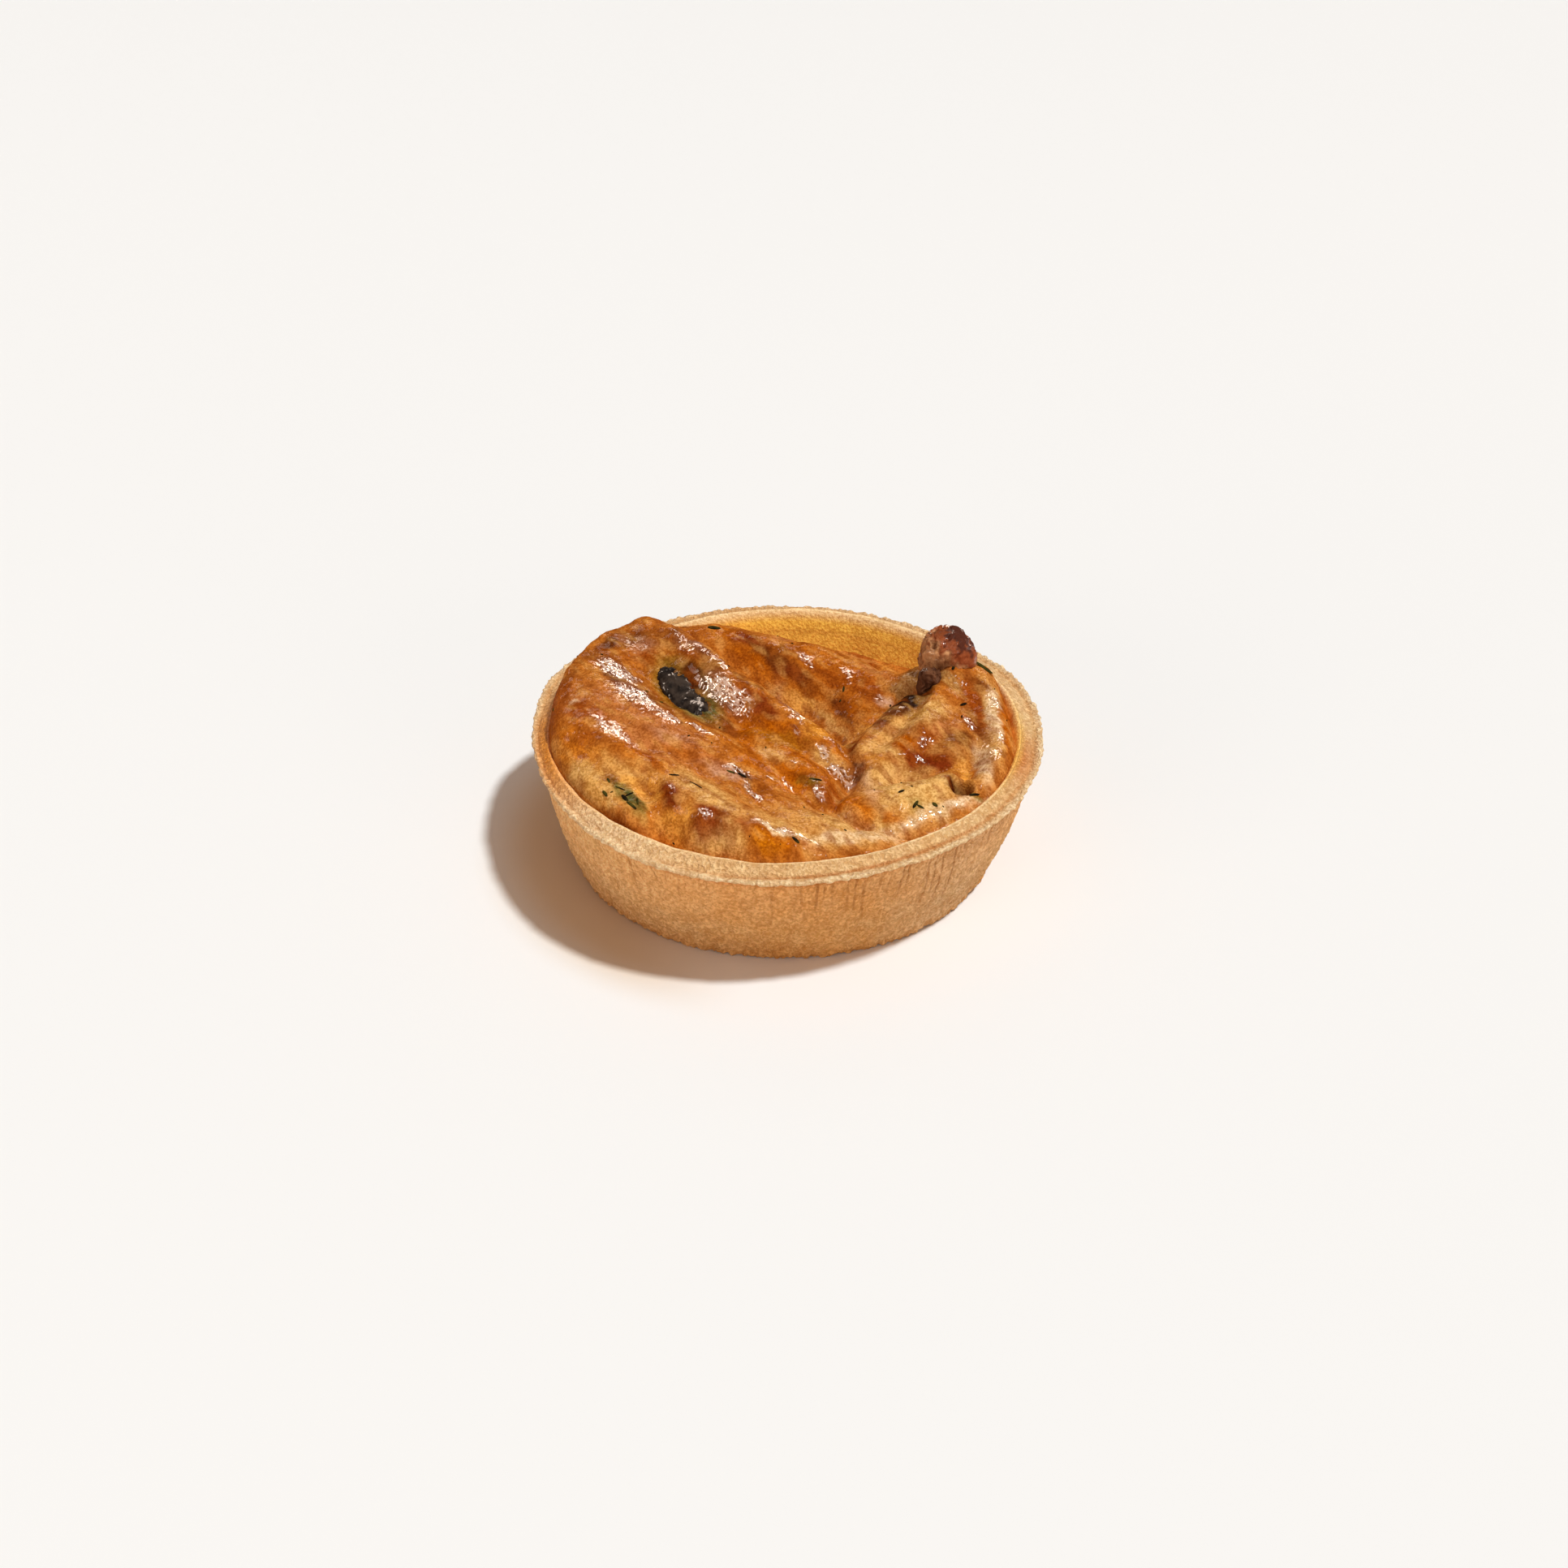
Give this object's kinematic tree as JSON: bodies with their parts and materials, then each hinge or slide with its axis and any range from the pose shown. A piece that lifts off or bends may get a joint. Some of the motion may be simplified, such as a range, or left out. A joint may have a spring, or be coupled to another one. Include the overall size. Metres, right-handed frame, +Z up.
{
  "type": "mini quiche",
  "caption": "Round baked mini quiche: a sloping shortcrust case filled with folded, browned egg custard and pieces of mushroom.",
  "frame": {"origin": "middle of the flat base, on the surface that the quiche stands on", "axes": "+Z up, -Y towards the front, where the custard is level with the rim, +X to the right, where the mushroom stalk stands"},
  "size_m": [0.0744, 0.0751, 0.0289],
  "materials": {
    "pastry_case": "dry, grainy baked shortcrust",
    "custard_filling": "browned egg custard, glossy on its folds",
    "mushroom_stalk": "roasted mushroom, dark at the edges",
    "mushroom_cap_end": "dark cut mushroom",
    "mushroom_slice": "dark mushroom gills"
  },
  "bodies": {
    "root": {"pastry_case": "pastry_case", "custard_filling": "custard_filling", "mushroom_stalk": "mushroom_stalk", "mushroom_cap_end": "mushroom_cap_end", "mushroom_slice": "mushroom_slice"}
  },
  "joints": []
}
